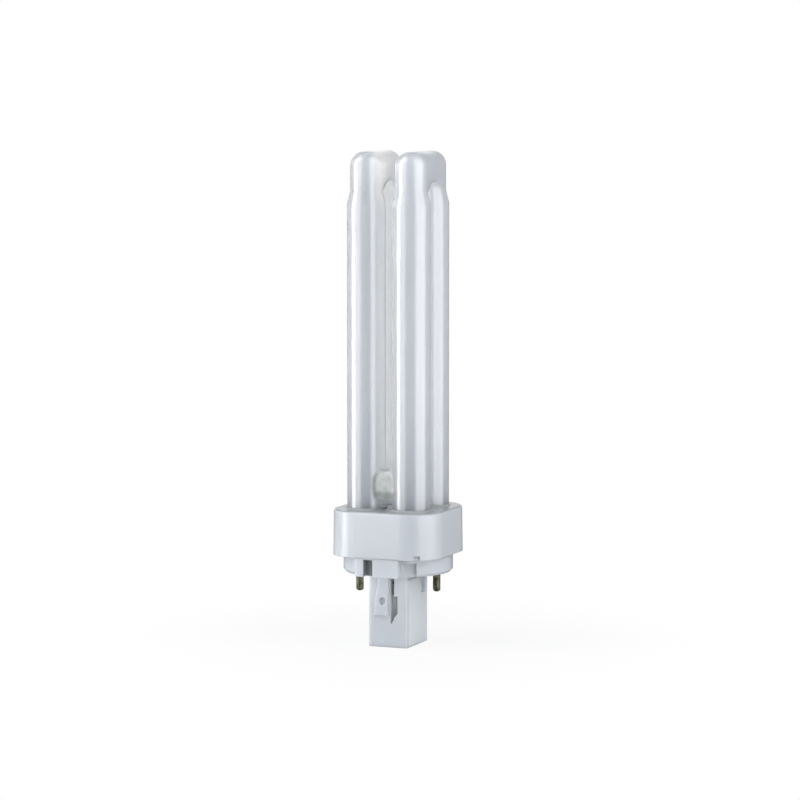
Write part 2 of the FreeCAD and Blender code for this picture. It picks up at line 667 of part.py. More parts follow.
def make_lead_wires():
    """Two wires from each electrode limb: one to a pin's head, one to a leg of the starter."""
    wires = []
    pin_run = f"({PIN_HEAD_TOP} + dims.pin_wire_rise)"
    starter_run = f"({SEAT_LEVEL} + dims.starter_wire_rise)"
    for label, side in (("left", "-1"), ("right", "1")):
        outer = f"{side} * ({HALF_PITCH} + dims.lead_spread)"
        inner = f"{side} * ({HALF_PITCH} - dims.lead_spread)"
        pin = (f"{side} * dims.pin_across", f"{side} * dims.pin_along")
        leg = (f"{side} * dims.leg_spread", f"-{BOTTLE_SHIFT}")
        wires.append(make_lead_wire(f"pin_lead_{label}", [
            (outer, HALF_PITCH, PINCH_END),
            (outer, HALF_PITCH, pin_run),
            (*pin, pin_run),
            (*pin, PIN_HEAD_TOP),
        ]))
        wires.append(make_lead_wire(f"starter_lead_{label}", [
            (inner, HALF_PITCH, PINCH_END),
            (inner, HALF_PITCH, starter_run),
            (*leg, starter_run),
            (*leg, LEG_TOP),
        ]))
    return wires


pieces = [
    make_discharge_tube(),
    make_upper_cap(),
    make_lower_base(),
    make_contact_pin("contact_pin_left", -1),
    make_contact_pin("contact_pin_right", 1),
    make_starter_bottle(),
    make_capacitor(),
]
pieces += make_lead_wires()
doc.recompute()

for item in doc.Objects:
    if {"Invalid", "Error"} & set(item.State):
        raise RuntimeError(f"{item.Label} could not be built: {item.State}")
    if item.isDerivedFrom("PartDesign::Pocket") and item.Shape.Volume >= item.BaseFeature.Shape.Volume:
        raise RuntimeError(f"{item.Label} cuts nothing")
for piece in pieces:
    if piece.Shape.isNull() or not piece.Shape.isValid() or len(piece.Shape.Solids) != 1:
        raise RuntimeError(f"{piece.Label} isn't one sound solid")

os.makedirs("parts", exist_ok=True)
for piece in pieces:
    piece.Shape.exportStep(os.path.join("parts", f"{piece.Label}.step"))
    box = piece.Shape.BoundBox
    print(f"{piece.Label}: {piece.Shape.Volume:.0f} mm3, z {box.ZMin:.2f} to {box.ZMax:.2f}")
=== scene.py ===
import logging
import math
from dataclasses import dataclass, field
from enum import Enum

import bmesh
import bpy
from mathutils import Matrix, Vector


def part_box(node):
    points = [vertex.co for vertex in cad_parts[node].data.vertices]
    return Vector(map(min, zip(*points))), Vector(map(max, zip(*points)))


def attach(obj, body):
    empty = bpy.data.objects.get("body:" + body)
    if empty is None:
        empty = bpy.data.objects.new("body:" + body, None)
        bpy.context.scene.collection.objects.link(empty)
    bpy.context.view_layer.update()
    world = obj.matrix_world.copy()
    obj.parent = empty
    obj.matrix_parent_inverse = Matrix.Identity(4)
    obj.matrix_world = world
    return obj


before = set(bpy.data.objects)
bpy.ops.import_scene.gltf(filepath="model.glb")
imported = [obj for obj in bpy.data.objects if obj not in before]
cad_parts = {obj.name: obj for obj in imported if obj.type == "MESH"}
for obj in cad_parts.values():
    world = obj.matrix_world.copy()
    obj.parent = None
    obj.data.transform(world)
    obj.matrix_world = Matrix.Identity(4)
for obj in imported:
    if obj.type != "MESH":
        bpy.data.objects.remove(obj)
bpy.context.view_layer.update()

log = logging.getLogger("lamp_scene")
Colour = tuple[float, float, float]
# Two numbers that belong together, such as the ends of a ramp or a width and a height.
Span = tuple[float, float]
WHITE: Colour = (1.0, 1.0, 1.0)
# How far light scatters in red, green and blue: the same for each.
EVEN_SCATTER = (1.0, 1.0, 1.0)


class Side(Enum):
    """Where a light stands, in degrees to the right of the camera as seen from the lamp."""

    LEFT_REAR = -110.0
    LEFT = -80.0
    LEFT_BROAD = -50.0
    FRONT = 5.0
    FRONT_HIGH = 10.0
    RIGHT = 32.0
    RIGHT_BROAD = 64.0


def rgba(colour: Colour) -> tuple[float, float, float, float]:
    """A colour with full alpha."""
    return (*colour, 1.0)


class Nodes:
    """Short hand for placing and joining the nodes of one tree."""

    # A Mix node has sockets for each kind of data; these are the places of its colours.
    MIX_FACTOR, MIX_BASE, MIX_OVER = 0, 6, 7
    MIX_RESULT = 2
    BEVEL_SAMPLES = 6

    def __init__(self, tree: bpy.types.NodeTree) -> None:
        """Keep the tree that the nodes go into."""
        self.tree = tree

    def add(self, kind: str, **settings: object) -> bpy.types.Node:
        """Place one node.

        Args:
            kind: The node's type without its ShaderNode prefix.
            settings: Properties of the node, by name.

        Returns:
            The new node.
        """
        prefix = "" if kind.startswith("Node") else "ShaderNode"
        node = self.tree.nodes.new(prefix + kind)
        for name, value in settings.items():
            setattr(node, name, value)
        return node

    def join(self, source: bpy.types.NodeSocket, target: bpy.types.NodeSocket) -> None:
        """Connect an output to an input."""
        self.tree.links.new(source, target)

    def feed(self, target: bpy.types.NodeSocket, value: object) -> None:
        """Give an input its value.

        Args:
            target: The input.
            value: A socket to join to it, or a number or colour to set on it.
        """
        if isinstance(value, bpy.types.NodeSocket):
            self.join(value, target)
        else:
            target.default_value = rgba(value) if isinstance(value, tuple) else value

    def math(self, operation: str, first: object, second: object = 0.0) -> bpy.types.NodeSocket:
        """A Math node.

        Args:
            operation: What the node does.
            first: A number or a socket.
            second: A number or a socket.

        Returns:
            The node's output.
        """
        node = self.add("Math", operation=operation)
        for socket, value in zip(node.inputs, (first, second)):
            self.feed(socket, value)
        return node.outputs[0]

    def line(self, source: object, slope: float, start: float) -> bpy.types.NodeSocket:
        """A value that rises with the source: slope times the source, plus start."""
        return self.math("ADD", self.math("MULTIPLY", source, slope), start)

    def invert(self, source: object) -> bpy.types.NodeSocket:
        """One minus the source."""
        return self.math("SUBTRACT", 1.0, source)

    def ramp(self, source: bpy.types.NodeSocket, span: Span) -> bpy.types.NodeSocket:
        """A smooth step.

        Args:
            source: The value to step on.
            span: The source's value where the step is 0, and the one where it is 1.

        Returns:
            The step, from 0 to 1.
        """
        node = self.add("MapRange", interpolation_type="SMOOTHSTEP")
        node.inputs["From Min"].default_value, node.inputs["From Max"].default_value = span
        self.join(source, node.inputs["Value"])
        return node.outputs["Result"]

    def blend(self, mask: object, base: object, over: object) -> bpy.types.NodeSocket:
        """One colour laid over another.

        Args:
            mask: How much of the upper colour shows, a number or a socket.
            base: The lower colour, or its socket.
            over: The upper colour, or its socket.

        Returns:
            The mixed colour.
        """
        node = self.add("Mix", data_type="RGBA")
        for index, value in ((self.MIX_FACTOR, mask), (self.MIX_BASE, base), (self.MIX_OVER, over)):
            self.feed(node.inputs[index], value)
        return node.outputs[self.MIX_RESULT]

    def parts(self, vector: bpy.types.NodeSocket) -> bpy.types.NodeOutputs:
        """Take a vector apart.

        Args:
            vector: The vector.

        Returns:
            Its X, Y and Z.
        """
        node = self.add("SeparateXYZ")
        self.join(vector, node.inputs[0])
        return node.outputs

    def noise(
        self, place: bpy.types.NodeSocket, scale: object, detail: float
    ) -> bpy.types.NodeSocket:
        """A cloudy pattern.

        Args:
            place: The coordinates that it is laid on.
            scale: A number or a socket.
            detail: How many finer layers it has.

        Returns:
            The pattern, from 0 to 1.
        """
        node = self.add("TexNoise")
        node.inputs["Detail"].default_value = detail
        self.join(place, node.inputs["Vector"])
        self.feed(node.inputs["Scale"], scale)
        return node.outputs["Fac"]

    def rounded(self, radius: float) -> bpy.types.NodeSocket:
        """A normal that turns smoothly over every crease.

        Args:
            radius: How wide it turns, in metres.

        Returns:
            The normal.
        """
        node = self.add("Bevel", samples=self.BEVEL_SAMPLES)
        node.inputs["Radius"].default_value = radius
        return node.outputs["Normal"]

    def bump(
        self,
        height: bpy.types.NodeSocket,
        depth: float,
        normal: bpy.types.NodeSocket | None = None,
    ) -> bpy.types.NodeSocket:
        """A normal that follows a height pattern.

        Args:
            height: The pattern.
            depth: Its depth in metres.
            normal: The normal to start from, or None for the surface's own.

        Returns:
            The bumped normal.
        """
        node = self.add("Bump")
        node.inputs["Distance"].default_value = depth
        self.join(height, node.inputs["Height"])
        if normal is not None:
            self.join(normal, node.inputs["Normal"])
        return node.outputs["Normal"]

    def mix_shaders(
        self, mask: bpy.types.NodeSocket, base: bpy.types.Node, over: bpy.types.Node
    ) -> bpy.types.NodeSocket:
        """One shader laid over another.

        Args:
            mask: How much of the upper shader shows.
            base: The lower shader.
            over: The upper shader.

        Returns:
            The mixed shader.
        """
        node = self.add("MixShader")
        for socket, source in zip(node.inputs, (mask, base.outputs[0], over.outputs[0])):
            self.join(source, socket)
        return node.outputs[0]

    def seen_directly(self) -> bpy.types.NodeSocket:
        """Find the rays that see the backdrop: camera, glossy and transmission rays.

        Returns:
            Their mask.
        """
        rays = self.add("LightPath").outputs
        mirror = self.math("MAXIMUM", rays["Is Glossy Ray"], rays["Is Transmission Ray"])
        return self.math("MAXIMUM", rays["Is Camera Ray"], mirror)


@dataclass(frozen=True)
class Mottle:
    """A soft cloudy mask and a fine grain, laid on Object coordinates by one shared node group.

    Attributes:
        cloud_scale: The scale of the clouds.
        grain_scale: The scale of the grain.
        stretch: The scale of both along Z, as a share of the one across.
    """

    # How many finer layers each pattern has.
    CLOUD_DETAIL = 3.0
    GRAIN_DETAIL = 2.0

    cloud_scale: float = 60.0
    grain_scale: float = 900.0
    stretch: float = 1.0

    def values(self) -> dict[str, float]:
        """The values of the group's inputs, by name."""
        return {
            "Cloud Scale": self.cloud_scale,
            "Grain Scale": self.grain_scale,
            "Stretch": self.stretch,
        }

    @classmethod
    def build_group(cls) -> bpy.types.NodeTree:
        """Make the group.

        Returns:
            The group, with the inputs Cloud Scale, Grain Scale and Stretch, and the outputs
            Cloud and Grain.
        """
        group = bpy.data.node_groups.new("soft_mottle", "ShaderNodeTree")
        for name, value in cls().values().items():
            socket = group.interface.new_socket(
                name=name, in_out="INPUT", socket_type="NodeSocketFloat"
            )
            socket.default_value = value
        for name in ("Cloud", "Grain"):
            group.interface.new_socket(name=name, in_out="OUTPUT", socket_type="NodeSocketFloat")
        nodes = Nodes(group)
        given = nodes.add("NodeGroupInput").outputs
        results = nodes.add("NodeGroupOutput").inputs
        stretch = nodes.add("CombineXYZ")
        for name, value in (("X", 1.0), ("Y", 1.0), ("Z", given["Stretch"])):
            nodes.feed(stretch.inputs[name], value)
        scaled = nodes.add("VectorMath", operation="MULTIPLY")
        nodes.join(nodes.add("TexCoord").outputs["Object"], scaled.inputs[0])
        nodes.join(stretch.outputs[0], scaled.inputs[1])
        for name, detail in (("Cloud", cls.CLOUD_DETAIL), ("Grain", cls.GRAIN_DETAIL)):
            pattern = nodes.noise(scaled.outputs[0], given[f"{name} Scale"], detail)
            nodes.join(pattern, results[name])
        return group

    def place(self, nodes: Nodes, group: bpy.types.NodeTree) -> bpy.types.NodeOutputs:
        """Place the group with these values.

        Args:
            nodes: The material's nodes.
            group: The soft_mottle group.

        Returns:
            The outputs Cloud and Grain.
        """
        node = nodes.add("Group", node_tree=group)
        for name, value in self.values().items():
            node.inputs[name].default_value = value
        return node.outputs


def new_material(name: str) -> tuple[bpy.types.Material, Nodes]:
    """An empty material.

    Args:
        name: The material's name.

    Returns:
        The material and its nodes.
    """
    material = bpy.data.materials.new(name)
    material.use_nodes = True
    material.node_tree.nodes.clear()
    return material, Nodes(material.node_tree)


def add_principled(nodes: Nodes, values: dict[str, object]) -> None:
    """Place a Principled BSDF and join it to the material's output.

    Args:
        nodes: The material's nodes.
        values: A number, a vector or an output for each of its inputs, by name.
    """
    shader = nodes.add("BsdfPrincipled")
    nodes.join(shader.outputs[0], nodes.add("OutputMaterial").inputs[0])
    for name, value in values.items():
        if isinstance(value, bpy.types.NodeSocket):
            nodes.join(value, shader.inputs[name])
        else:
            shader.inputs[name].default_value = value


@dataclass(frozen=True)
class CoatedGlass:
    """Glass limbs with a white powder coat inside, thin and speckled round the bridge.

    Attributes:
        tone: The coat's colour on the limbs' outer sides.
        shade: The greyer colour of its clouds, and of the painted shade near the cap.
        inner: The painted light on the sides that face the lamp's axis, much paler than the coat.
        clear: Its colour where it is thin.
        bridge: The middle of the glass bridge.
        bridge_span: How far from there the coat starts to thin, and where it is thinnest.
        inner_light_span: How far from the lamp's axis the painted light starts, and where it is
            full.
        cap_shade_span: The heights where the painted shade towards the cap starts and where it is
            full.
        cap_shade_share: How much of the shade colour the painted shade towards the cap gives.
        cloud_share: How much of the shade the clouds give.
        speckle_scale: The scale of the specks in the thin coat.
        speckle_detail: How many finer layers they have.
        speckle_span: The values of their noise where a speck starts and where it is full.
        speckle_share: How much of the coat a speck takes away.
        thin_share: How much of it is gone between the specks.
        crease_radius: How wide the light turns over the creases, in metres.
        ripple: The depth of the uneven coat, in metres.
        glint_span: The Facing values where the outer reflection starts and where it is full.
        roughness: The powder coat's roughness.
        ior: Its index of refraction.
        specular: Its own weak sheen.
        coat_roughness: The roughness of the glass over it.
        coat_ior: The index of refraction that gives the glass its strong reflection.
        scatter: How much of the light enters the coat.
        scatter_depth: How far it spreads in there, in metres.
        mottle: The scales of the clouds.
    """

    tone: Colour = (0.41, 0.43, 0.46)
    shade: Colour = (0.28, 0.30, 0.34)
    inner: Colour = (0.93, 0.94, 0.95)
    clear: Colour = (0.25, 0.28, 0.23)
    bridge: tuple[float, float, float] = (0.0, -0.0095, 0.0505)
    bridge_span: Span = (0.0062, 0.00372)
    inner_light_span: Span = (0.0125, 0.006)
    cap_shade_span: Span = (0.085, 0.043)
    cap_shade_share: float = 0.55
    cloud_share: float = 0.35
    speckle_scale: float = 450.0
    speckle_detail: float = 2.0
    speckle_span: Span = (0.44, 0.62)
    speckle_share: float = 0.5
    thin_share: float = 0.34
    crease_radius: float = 0.002
    ripple: float = 0.00004
    glint_span: Span = (0.98, 0.75)
    roughness: float = 0.5
    ior: float = 1.5
    specular: float = 0.2
    coat_roughness: float = 0.04
    coat_ior: float = 2.1
    scatter: float = 1.0
    scatter_depth: float = 0.04
    mottle: Mottle = Mottle(cloud_scale=55.0, grain_scale=1500.0, stretch=0.25)

    def build(self, group: bpy.types.NodeTree) -> bpy.types.Material:
        """Make the material.

        Args:
            group: The soft_mottle group.

        Returns:
            The material.
        """
        material, nodes = new_material("coated_glass")
        mottle = self.mottle.place(nodes, group)
        place = nodes.add("TexCoord").outputs["Object"]
        coat = self.coat_colour(nodes, place, mottle["Cloud"])
        smooth = nodes.rounded(self.crease_radius)
        facing = nodes.add("LayerWeight").outputs["Facing"]
        values = {
            "Base Color": nodes.blend(self.thin_mask(nodes, place), coat, self.clear),
            "Roughness": self.roughness,
            "IOR": self.ior,
            "Specular IOR Level": self.specular,
            "Normal": nodes.bump(mottle["Cloud"], self.ripple, smooth),
            "Coat Weight": nodes.ramp(facing, self.glint_span),
            "Coat Roughness": self.coat_roughness,
            "Coat IOR": self.coat_ior,
            "Coat Normal": smooth,
            "Subsurface Weight": self.scatter,
            "Subsurface Scale": self.scatter_depth,
            "Subsurface Radius": EVEN_SCATTER,
        }
        add_principled(nodes, values)
        return material

    def coat_colour(
        self, nodes: Nodes, place: bpy.types.NodeSocket, cloud: bpy.types.NodeSocket
    ) -> bpy.types.NodeSocket:
        """The whole coat's colour: grey clouds, painted shade near the cap, painted light towards
        the lamp's axis.

        Args:
            nodes: The material's nodes.
            place: Object coordinates.
            cloud: The cloudy mask.

        Returns:
            The colour.
        """
        axes = nodes.parts(place)
        # Painted shade: the coat darkens towards the cap.
        cap_shade = nodes.ramp(axes["Z"], self.cap_shade_span)
        clouded = nodes.math("MULTIPLY", cloud, self.cloud_share)
        clouds_and_shade = nodes.math("ADD", nodes.math("MULTIPLY", cap_shade, self.cap_shade_share), clouded)
        outer = nodes.blend(clouds_and_shade, self.tone, self.shade)
        level = nodes.add("CombineXYZ")
        for name in ("X", "Y"):
            nodes.join(axes[name], level.inputs[name])
        off_axis = nodes.add("VectorMath", operation="LENGTH")
        nodes.join(level.outputs[0], off_axis.inputs[0])
        # Painted light: the sides that face the lamp's axis are paler.
        inner_light = nodes.ramp(off_axis.outputs["Value"], self.inner_light_span)
        return nodes.blend(inner_light, outer, self.inner)

    def thin_mask(self, nodes: Nodes, place: bpy.types.NodeSocket) -> bpy.types.NodeSocket:
        """A mask for the thin, speckled coat round the bridge.

        Args:
            nodes: The material's nodes.
            place: Object coordinates.

        Returns:
            The mask.
        """
        away = nodes.add("VectorMath", operation="DISTANCE")
        nodes.join(place, away.inputs[0])
        away.inputs[1].default_value = self.bridge
        near = nodes.ramp(away.outputs["Value"], self.bridge_span)
        speckle = nodes.noise(place, self.speckle_scale, self.speckle_detail)
        spots = nodes.ramp(speckle, self.speckle_span)
        return nodes.math("MULTIPLY", near, nodes.line(spots, self.speckle_share, self.thin_share))


@dataclass(frozen=True)
class Moulding:
    """White moulded plastic with a fine texture and a slightly darker bloom.

    Its colour also holds painted shade on the cap's top face and inside the key slots, and painted
    light on the post and inside its hollow. The key slots repeat half a turn round, and the post
    has the same tones on both sides.

    Attributes:
        tone: The plastic's colour.
        bloom: The darker colour that clouds it.
        bloom_share: How much of the bloom the clouds give.
        top_shade: The painted shade on the cap's top face.
        top_shade_span: The heights where it starts and where it is full.
        key_slot_shade: The painted shade inside the key slots.
        key_across: The two side walls of the front key slot, along X.
        key_depth: The floor and the mouth of the key slots, out from the axis along Y.
        key_top: The height of their top.
        hollow: The painted light inside the post.
        hollow_half: Half the hollow's size along X and Y.
        post: The painted light on the post's plain faces and on its upper part.
        post_light_span: The heights where the painted light on the upper part starts and where it
            is full.
        post_light_share: How much of it the upper part takes.
        post_top: The height below which a surface is the post's.
        plain_turn: How far along X a normal points on a plain face.
        edge_radius: How wide the light turns over an edge, in metres.
        texture: The depth of the fine texture, in metres.
        rough_span: The roughness where the grain is 0, and what the grain adds to it.
        ior: The plastic's index of refraction.
        coat: The weight of its smooth skin.
        coat_roughness: The skin's roughness.
        scatter: How much of the light enters the plastic.
        scatter_depth: How far it spreads in there, in metres.
        mottle: The scales of the bloom and the grain.
    """

    tone: Colour = (0.55, 0.585, 0.63)
    bloom: Colour = (0.485, 0.52, 0.565)
    bloom_share: float = 0.4
    top_shade: Colour = (0.33, 0.36, 0.39)
    top_shade_span: Span = (0.0425, 0.0428)
    key_slot_shade: Colour = (0.25, 0.28, 0.29)
    key_across: Span = (0.0010, 0.0045)
    key_depth: Span = (0.0148, 0.01765)
    key_top: float = 0.0284
    hollow: Colour = (0.93, 0.95, 0.96)
    hollow_half: Span = (0.00495, 0.00715)
    post: Colour = (0.70, 0.745, 0.79)
    post_light_span: Span = (0.012, 0.0225)
    post_light_share: float = 0.75
    post_top: float = 0.0229
    plain_turn: float = 0.7
    edge_radius: float = 0.0004
    texture: float = 0.00001
    rough_span: Span = (0.26, 0.14)
    ior: float = 1.5
    coat: float = 1.0
    coat_roughness: float = 0.18
    scatter: float = 0.5
    scatter_depth: float = 0.004
    mottle: Mottle = Mottle(cloud_scale=90.0, grain_scale=2600.0)

    def build(self, group: bpy.types.NodeTree) -> bpy.types.Material:
        """Make the material.

        Args:
            group: The soft_mottle group.

        Returns:
            The material.
        """
        material, nodes = new_material("white_moulding")
        mottle = self.mottle.place(nodes, group)
        smooth, added = self.rough_span
        values = {
            "Base Color": self.colour(nodes, mottle["Cloud"]),
            "Roughness": nodes.line(mottle["Grain"], added, smooth),
            "IOR": self.ior,
            "Normal": nodes.bump(mottle["Grain"], self.texture, nodes.rounded(self.edge_radius)),
            "Coat Weight": self.coat,
            "Coat Roughness": self.coat_roughness,
            "Subsurface Weight": self.scatter,
            "Subsurface Scale": self.scatter_depth,
            "Subsurface Radius": EVEN_SCATTER,
        }
        add_principled(nodes, values)
        return material

    def colour(self, nodes: Nodes, cloud: bpy.types.NodeSocket) -> bpy.types.NodeSocket:
        """The clouded plastic, with painted light on the post and inside its hollow, and painted
        shade on the cap's top face and in the key slots.

        Args:
            nodes: The material's nodes.
            cloud: The cloudy mask.

        Returns:
            The colour.
        """
        place = nodes.add("TexCoord").outputs
        axes = nodes.parts(place["Object"])
        along = nodes.parts(place["Normal"])["X"]
        clouded = nodes.math("MULTIPLY", cloud, self.bloom_share)
        result = nodes.blend(clouded, self.tone, self.bloom)
        # Painted light: the post's plain faces and upper part are paler.
        result = nodes.blend(self.post_light_mask(nodes, axes, along), result, self.post)
        # Painted shade: the cap's top face is greyer.
        result = nodes.blend(nodes.ramp(axes["Z"], self.top_shade_span), result, self.top_shade)
        # Painted shade inside the key slots.
        result = nodes.blend(self.key_shade_mask(nodes, axes), result, self.key_slot_shade)
        # Painted light inside the post's hollow.
        return nodes.blend(self.hollow_light_mask(nodes, axes), result, self.hollow)

    def post_light_mask(
        self, nodes: Nodes, axes: bpy.types.NodeOutputs, along: bpy.types.NodeSocket
    ) -> bpy.types.NodeSocket:
        """A mask for the painted light on the post's plain faces and on the upper part of all its
        faces.

        Args:
            nodes: The material's nodes.
            axes: Object coordinates.
            along: The X of the surface's normal.

        Returns:
            The mask.
        """
        plain = nodes.math("GREATER_THAN", nodes.math("ABSOLUTE", along), self.plain_turn)
        upper = nodes.math("MULTIPLY", nodes.ramp(axes["Z"], self.post_light_span), self.post_light_share)
        on_post = nodes.math("LESS_THAN", axes["Z"], self.post_top)
        return nodes.math("MULTIPLY", nodes.math("MAXIMUM", plain, upper), on_post)

    def key_shade_mask(self, nodes: Nodes, axes: bpy.types.NodeOutputs) -> bpy.types.NodeSocket:
        """A mask for the painted shade inside both key slots.

        Args:
            nodes: The material's nodes.
            axes: Object coordinates.

        Returns:
            The mask.
        """
        across = nodes.math("MULTIPLY", axes["X"], nodes.math("SIGN", axes["Y"]))
        depth = nodes.math("ABSOLUTE", axes["Y"])
        mask = nodes.math("LESS_THAN", axes["Z"], self.key_top)
        for value, (near, far) in ((across, self.key_across), (depth, self.key_depth)):
            mask = nodes.math("MULTIPLY", mask, nodes.math("GREATER_THAN", value, near))
            mask = nodes.math("MULTIPLY", mask, nodes.math("LESS_THAN", value, far))
        return mask

    def hollow_light_mask(self, nodes: Nodes, axes: bpy.types.NodeOutputs) -> bpy.types.NodeSocket:
        """A mask for the painted light inside the post.

        Args:
            nodes: The material's nodes.
            axes: Object coordinates.

        Returns:
            The mask.
        """
        inside = [
            nodes.math("LESS_THAN", nodes.math("ABSOLUTE", axes[name]), half)
            for name, half in zip("XY", self.hollow_half)
        ]
        return nodes.math("MULTIPLY", *inside)


@dataclass(frozen=True)
class PinBrass:
    """Dull brass that has browned in places.

    Attributes:
        tone: The metal's colour.
        tarnish: Its colour where it has browned.
        brown_span: The values of the clouds where the browning starts and where it is full.
        rough_span: The roughness of the clean metal, and what the browning adds to it.
        metallic: How much of a metal it looks.
        scratch: The depth of its grain, in metres.
        mottle: The scales of the browning and the grain.
    """

    tone: Colour = (0.30, 0.29, 0.19)
    tarnish: Colour = (0.055, 0.052, 0.037)
    brown_span: Span = (0.35, 0.65)
    rough_span: Span = (0.3, 0.2)
    metallic: float = 0.9
    scratch: float = 0.000006
    mottle: Mottle = Mottle(cloud_scale=420.0, grain_scale=3000.0)

    def build(self, group: bpy.types.NodeTree) -> bpy.types.Material:
        """Make the material.

        Args:
            group: The soft_mottle group.

        Returns:
            The material.
        """
        material, nodes = new_material("pin_brass")
        mottle = self.mottle.place(nodes, group)
        browned = nodes.ramp(mottle["Cloud"], self.brown_span)
        smooth, added = self.rough_span
        values = {
            "Base Color": nodes.blend(browned, self.tone, self.tarnish),
            "Roughness": nodes.line(browned, added, smooth),
            "Metallic": self.metallic,
            "Normal": nodes.bump(mottle["Grain"], self.scratch),
        }
        add_principled(nodes, values)
        return material


@dataclass(frozen=True)
class PlainFinish:
    """A finish of one colour that clouds towards a second one.

    Attributes:
        name: The material's name.
        tone: Its colour.
        cloud: The colour that it clouds towards.
        roughness: Its roughness.
        metallic: How much of a metal it looks.
        transmission: How much light it lets through.
        texture: The depth of its grain, in metres.
        mottle: The scales of the clouds and the grain.
    """

    name: str
    tone: Colour
    cloud: Colour
    roughness: float
    metallic: float = 0.0
    transmission: float = 0.0
    texture: float = 0.00001
    mottle: Mottle = Mottle(cloud_scale=300.0, grain_scale=2500.0)

    def build(self, group: bpy.types.NodeTree) -> bpy.types.Material:
        """Make the material.

        Args:
            group: The soft_mottle group.

        Returns:
            The material.
        """
        material, nodes = new_material(self.name)
        mottle = self.mottle.place(nodes, group)
        values = {
            "Base Color": nodes.blend(mottle["Cloud"], self.tone, self.cloud),
            "Roughness": self.roughness,
            "Metallic": self.metallic,
            "Transmission Weight": self.transmission,
            "Normal": nodes.bump(mottle["Grain"], self.texture),
        }
        add_principled(nodes, values)
        return material


def dress(names: tuple[str, ...], material: bpy.types.Material) -> None:
    """Give CAD nodes a material.

    Args:
        names: The nodes.
        material: Their finish.
    """
    for name in names:
        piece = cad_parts[name]
        piece.data.materials.clear()
        piece.data.materials.append(material)
        log.info("dressed %s in %s", name, material.name)


def finish_piece(piece: bpy.types.Object, material: bpy.types.Material) -> None:
    """Dress a new piece and make it ride on the lamp.

    Args:
        piece: The new object, with its place in its mesh.
        material: Its finish.
    """
    piece.data.materials.append(material)
    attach(piece, "root")
    log.info("made %s", piece.name)


def new_object(name: str, data: bpy.types.ID) -> bpy.types.Object:
    """Put a mesh, a camera or a light into the scene.

    Args:
        name: The object's name.
        data: What it shows.

    Returns:
        The object.
    """
    thing = bpy.data.objects.new(name, data)
    bpy.context.collection.objects.link(thing)
    return thing


def new_mesh(name: str, shape: bmesh.types.BMesh) -> bpy.types.Mesh:
    """Turn a bmesh into a mesh and free it.

    Args:
        name: The mesh's name.
        shape: The bmesh.

    Returns:
        The mesh.
    """
    data = bpy.data.meshes.new(name)
    shape.to_mesh(data)
    shape.free()
    return data


@dataclass
class LimbSeals:
    """Thin fillets of grey cement where the glass limbs enter the cap; their grey also paints the
    contact shadow there.

    Attributes:
        reach: How far a fillet goes up the glass and out over the cap, in metres.
        limb_radius: The glass limb's radius.
        half_pitch: Half the distance between two limbs, along X and along Y.
        bite: How far a fillet goes into the glass.
        sunk: How far it goes into the cap.
        rim: Its height at its outer edge.
        lip: Its width at the top.
        waist: Where its hollow side has its middle point, out and up, as shares of the reach.
        steps: How many faces it has round a limb.
    """

    reach: float = 0.0006
    limb_radius: float = 0.006
    half_pitch: float = 0.0075
    bite: float = 0.0001
    sunk: float = 0.0002
    rim: float = 0.00004
    lip: float = 0.00006
    waist: Span = (0.35, 0.3)
    steps: int = 96

    def build(self, material: bpy.types.Material) -> None:
        """Make one ring of fillet for each limb, in one mesh.

        Args:
            material: The cement's finish.
        """
        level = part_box("upper_cap")[1].z
        shape = bmesh.new()
        for across in (-self.half_pitch, self.half_pitch):
            for along in (-self.half_pitch, self.half_pitch):
                self.add_ring(shape, Vector((across, along, level)))
        bmesh.ops.recalc_face_normals(shape, faces=shape.faces)
        self.order_faces(shape)
        data = new_mesh("limb_seals", shape)
        for face in data.polygons:
            face.use_smooth = True
        finish_piece(new_object("limb_seals", data), material)

    def add_ring(self, shape: bmesh.types.BMesh, centre: Vector) -> None:
        """Spin a small hollow-sided triangle about one limb's axis.

        Args:
            shape: The bmesh to add to.
            centre: The limb's axis at the cap's top.
        """
        inner = self.limb_radius - self.bite
        outer = self.limb_radius + self.reach
        waist_out, waist_up = self.waist
        profile = (
            (inner, -self.sunk),
            (outer, -self.sunk),
            (outer, self.rim),
            (self.limb_radius + self.reach * waist_out, self.reach * waist_up),
            (self.limb_radius + self.lip, self.reach),
            (inner, self.reach),
        )
        verts = [shape.verts.new(centre + Vector((radius, 0.0, up))) for radius, up in profile]
        edges = [shape.edges.new(pair) for pair in zip(verts, verts[1:] + verts[:1])]
        bmesh.ops.spin(
            shape,
            geom=verts + edges,
            cent=centre,
            axis=(0.0, 0.0, 1.0),
            angle=math.tau,
            steps=self.steps,
            use_merge=True,
            use_duplicate=False,
        )

    @staticmethod
    def order_faces(shape: bmesh.types.BMesh) -> None:
        """Sort the faces by their middles, because a spin lists them differently on each run.

        Args:
            shape: The bmesh.
        """
        ordered = sorted(shape.faces, key=lambda face: tuple(face.calc_center_median()))
        places = {face: place for place, face in enumerate(ordered)}
        shape.faces.sort(key=places.get)


@dataclass
class DischargeTube:
    """The glass limbs and the seals where they enter the cap."""

    glass: CoatedGlass = CoatedGlass()
    # Grey cement, dark enough to also paint the contact shadow at the limbs' feet.
    cement: PlainFinish = PlainFinish(
        "seal_cement_and_shade", tone=(0.40, 0.42, 0.43), cloud=(0.30, 0.32, 0.33), roughness=0.7
    )
    seals: LimbSeals = field(default_factory=LimbSeals)

    def build(self, group: bpy.types.NodeTree) -> None:
        """Dress the glass and make the seals.

        Args:
            group: The soft_mottle group.
        """
        dress(("discharge_tube",), self.glass.build(group))
        self.seals.build(self.cement.build(group))


